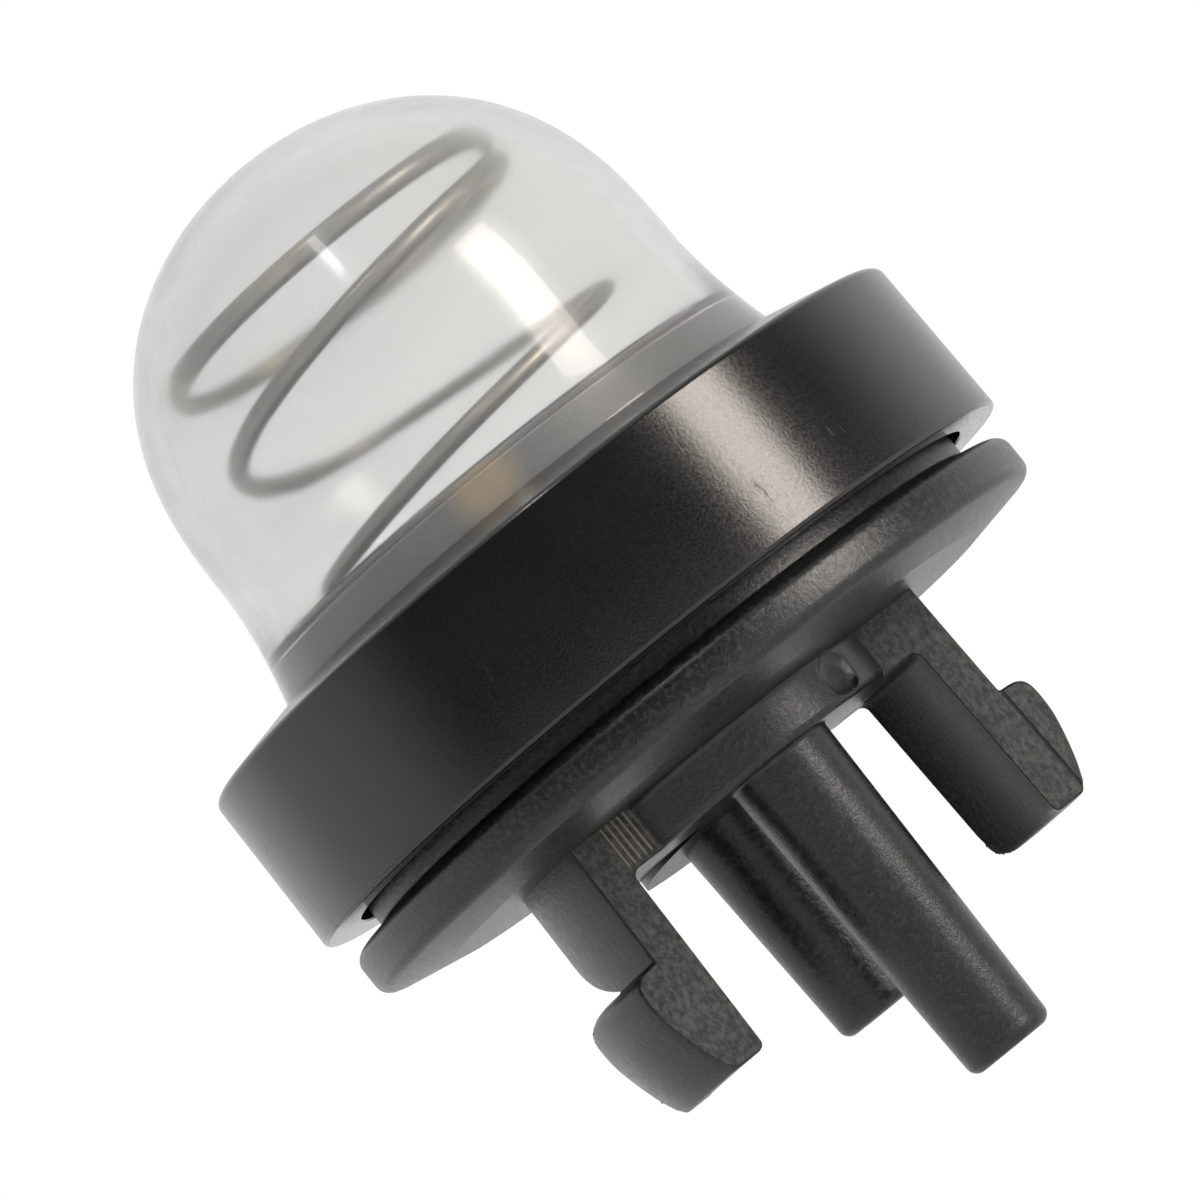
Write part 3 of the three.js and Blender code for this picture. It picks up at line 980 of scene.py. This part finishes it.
def grown(name, tree, values):
    """The mesh that the node tree makes with these values for its named inputs."""
    work = bpy.data.objects.new(name, bpy.data.meshes.new(name))
    bpy.context.scene.collection.objects.link(work)
    modifier = work.modifiers.new(tree.name, "NODES")
    modifier.node_group = tree
    for item in tree.interface.items_tree:
        if item.in_out == "INPUT" and item.name in values:
            modifier[item.identifier] = values[item.name]
    seen = work.evaluated_get(bpy.context.evaluated_depsgraph_get())
    mesh = bpy.data.meshes.new_from_object(seen)
    bpy.data.objects.remove(work)
    mesh.name = name
    return mesh


class PRIMERBULB_OT_spring(bpy.types.Operator):
    """Wind the return spring inside the bulb"""

    bl_idname = "primer_bulb.spring"
    bl_label = "Return Spring"

    def execute(self, context):
        settings = context.scene.primer_bulb
        s = settings.spring
        bottom, top = spring_box[0].z + s.wire, spring_box[1].z - s.wire
        finish = drawn_wire(settings.finishes.wire)
        values = {
            "Wire Radius": s.wire,
            "Coil Radius": spring_box[1].x - s.wire,
            "Bottom": bottom,
            "Top": top,
            "Working Turns": s.working_turns,
            "Closed Turns": s.closed_turns,
            "Closed Pitch": s.closed_pitch,
            "Pitch Growth": s.pitch_ease,
            "Last Turn": s.last_turn,
            "Steps per Turn": s.steps,
            "Wire Sides": s.sides,
        }
        mesh = grown("wound_spring", coil_tree(finish), values)
        if not mesh.polygons:
            raise RuntimeError("the spring's node tree made no faces")
        mesh = shaded(mesh, math.radians(50))
        piece = place("wound_spring", mesh, finish, "spring_wire", "return_spring")
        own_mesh(piece)
        return {"FINISHED"}


class PRIMERBULB_OT_valve(bpy.types.Operator):
    """Give the check valve its rubber"""

    bl_idname = "primer_bulb.valve"
    bl_label = "Check Valve"

    def execute(self, context):
        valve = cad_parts["check_valve"]
        rubber = moulded_rubber(context.scene.primer_bulb.finishes.rubber)
        for slot in valve.material_slots:
            slot.material = rubber
        return {"FINISHED"}


# Studio


def room_light(tree, behind, left, dimmest, even):
    """How strong the room's light is: white to the camera and behind clear walls, and even on dull faces.

    Glossy faces mirror a room that is pale behind, above and to the left and dim elsewhere.
    """
    seen, mirrored = ray_kinds(tree)
    way = tree.nodes.new("ShaderNodeTexCoord").outputs["Generated"]

    def towards(side):
        return measured(tree, "DOT_PRODUCT", way, side)

    room = towards(behind).between(-0.15, 0.65, dimmest, 0.9)
    room = room.math("MAXIMUM", towards(left).between(0.42, 0.9, dimmest, 0.72))
    room = room.math("MAXIMUM", towards((0, 0, 1)).between(0.5, 0.95, dimmest, 0.6))
    lit = mirrored * room + (mirrored * -1.0 + 1.0) * even
    return seen + (seen * -1.0 + 1.0) * lit


def pale_floor(tint, behind, dimmest):
    """A plain pale floor that shows as white to the camera except where the object shades it.

    Glossy faces mirror it as white behind the object and dim in front of it, like the room.
    """
    finish = Finish("pale_floor")
    cloud = finish.noise(0.02, detail=2)
    seen, mirrored = ray_kinds(finish.tree)
    far = measured(finish.tree, "DOT_PRODUCT", finish.place, behind).between(0, 0.2, dimmest, 1)
    finish.set(
        Base_Color=finish.blend(cloud.between(0.3, 0.7), dim(tint, 0.985), tint),
        Roughness=0.9,
        Specular_IOR_Level=0.1,
        Emission_Color=(1, 1, 1, 1),
        Emission_Strength=seen.math("MAXIMUM", far * mirrored) * 0.66,
    )
    return finish.material


def soft_lamp(name, width, height, brightness, tint, azimuth, elevation, distance, target):
    """A rectangular lamp that looks at the target from an azimuth and elevation in degrees.

    Its brightness counts from 1, which is as bright as the white background.
    """
    light = bpy.data.lights.new(name, "AREA")
    light.shape = "RECTANGLE"
    light.size, light.size_y = width, height
    light.energy = brightness * math.pi * width * height
    light.color = tint
    a, e = math.radians(azimuth), math.radians(elevation)
    away = Vector((math.cos(a) * math.cos(e), math.sin(a) * math.cos(e), math.sin(e)))
    lamp = bpy.data.objects.new(name, light)
    lamp.location = target + away * distance
    lamp.rotation_euler = away.to_track_quat("Z", "Y").to_euler()
    bpy.context.scene.collection.objects.link(lamp)


class PRIMERBULB_OT_stage(bpy.types.Operator):
    """Set up the camera, the floor, the lamps and the background"""

    bl_idname = "primer_bulb.stage"
    bl_label = "Studio"

    def execute(self, context):
        scene = context.scene
        settings = scene.primer_bulb
        studio = settings.studio
        target = Vector((0, 0, studio.middle))

        a, e = studio.azimuth, studio.elevation
        back = Vector((math.sin(a) * math.cos(e), -math.cos(a) * math.cos(e), math.sin(e)))
        right = Vector((math.cos(a), math.sin(a), 0))
        up = back.cross(right)
        turn = Matrix.Rotation(-studio.roll, 3, back)
        camera_data = bpy.data.cameras.new("camera")
        camera_data.sensor_width = 36
        camera_data.lens = studio.lens
        camera_data.shift_x, camera_data.shift_y = studio.shift_x, studio.shift_y
        camera_data.clip_start = 0.01
        camera = bpy.data.objects.new("camera", camera_data)
        axes = Matrix((turn @ right, turn @ up, back)).transposed()
        camera.matrix_world = Matrix.Translation(target + back * studio.distance) @ axes.to_4x4()
        scene.collection.objects.link(camera)
        scene.camera = camera

        level = base_box[0].z - studio.floor_drop
        half = 1500 * MM
        plane = bpy.data.meshes.new("floor")
        corners = [(-half, -half, level), (half, -half, level), (half, half, level), (-half, half, level)]
        plane.from_pydata(corners, [], [(0, 1, 2, 3)])
        plane.materials.append(pale_floor(settings.finishes.floor, -back, studio.dim_floor))
        floor = bpy.data.objects.new("floor", plane)
        scene.collection.objects.link(floor)

        near = math.degrees(a) - 90
        soft_lamp(
            "window",
            width=0.125,
            height=0.23,
            brightness=9.5,
            tint=(1, 0.9, 0.82),
            azimuth=near + 56,
            elevation=10,
            distance=0.4,
            target=target,
        )
        soft_lamp(
            "ceiling",
            width=0.028,
            height=0.18,
            brightness=9,
            tint=(1, 1, 1),
            azimuth=near + 4,
            elevation=57,
            distance=0.45,
            target=target,
        )

        world = bpy.data.worlds.new("studio")
        world.use_nodes = True
        tree = world.node_tree
        background = tree.nodes["Background"]
        background.inputs["Color"].default_value = (1, 1, 1, 1)
        left = Matrix.Rotation(math.radians(-20), 3, "Z") @ -right
        strength = room_light(tree, -back, left, studio.dim_side, studio.world)
        tree.links.new(strength.socket, background.inputs["Strength"])
        scene.world = world
        scene.view_settings.view_transform = "Standard"
        return {"FINISHED"}


class PRIMERBULB_PT_panel(bpy.types.Panel):
    """Lists the pieces of the primer bulb"""

    bl_idname = "PRIMERBULB_PT_panel"
    bl_label = "Primer Bulb"
    bl_space_type = "VIEW_3D"
    bl_region_type = "UI"
    bl_category = "Primer Bulb"

    def draw(self, context):
        settings = context.scene.primer_bulb
        groups = {
            PRIMERBULB_OT_base: (settings.base, settings.legs, settings.nozzles),
            PRIMERBULB_OT_ring: (settings.ring,),
            PRIMERBULB_OT_bulb: (settings.bulb,),
            PRIMERBULB_OT_spring: (settings.spring,),
            PRIMERBULB_OT_valve: (settings.finishes,),
            PRIMERBULB_OT_stage: (settings.studio,),
        }
        for operator, owners in groups.items():
            column = self.layout.box().column()
            column.operator(operator.bl_idname)
            for owner in owners:
                for name in owner.__annotations__:
                    column.prop(owner, name)


OPERATORS = (
    PRIMERBULB_OT_base,
    PRIMERBULB_OT_ring,
    PRIMERBULB_OT_bulb,
    PRIMERBULB_OT_spring,
    PRIMERBULB_OT_valve,
    PRIMERBULB_OT_stage,
)
CLASSES = (
    BaseSizes,
    LegSizes,
    NozzleSizes,
    RingSizes,
    BulbSizes,
    SpringSizes,
    Finishes,
    Studio,
    PrimerBulb,
    *OPERATORS,
    PRIMERBULB_PT_panel,
)


def register():
    for cls in CLASSES:
        bpy.utils.register_class(cls)
    bpy.types.Scene.primer_bulb = PointerProperty(type=PrimerBulb)


def unregister():
    del bpy.types.Scene.primer_bulb
    for cls in reversed(CLASSES):
        bpy.utils.unregister_class(cls)


def main():
    register()
    bpy.ops.primer_bulb.stage()
    bpy.ops.primer_bulb.base()
    bpy.ops.primer_bulb.ring()
    bpy.ops.primer_bulb.bulb()
    bpy.ops.primer_bulb.spring()
    bpy.ops.primer_bulb.valve()


if __name__ == "__main__":
    main()
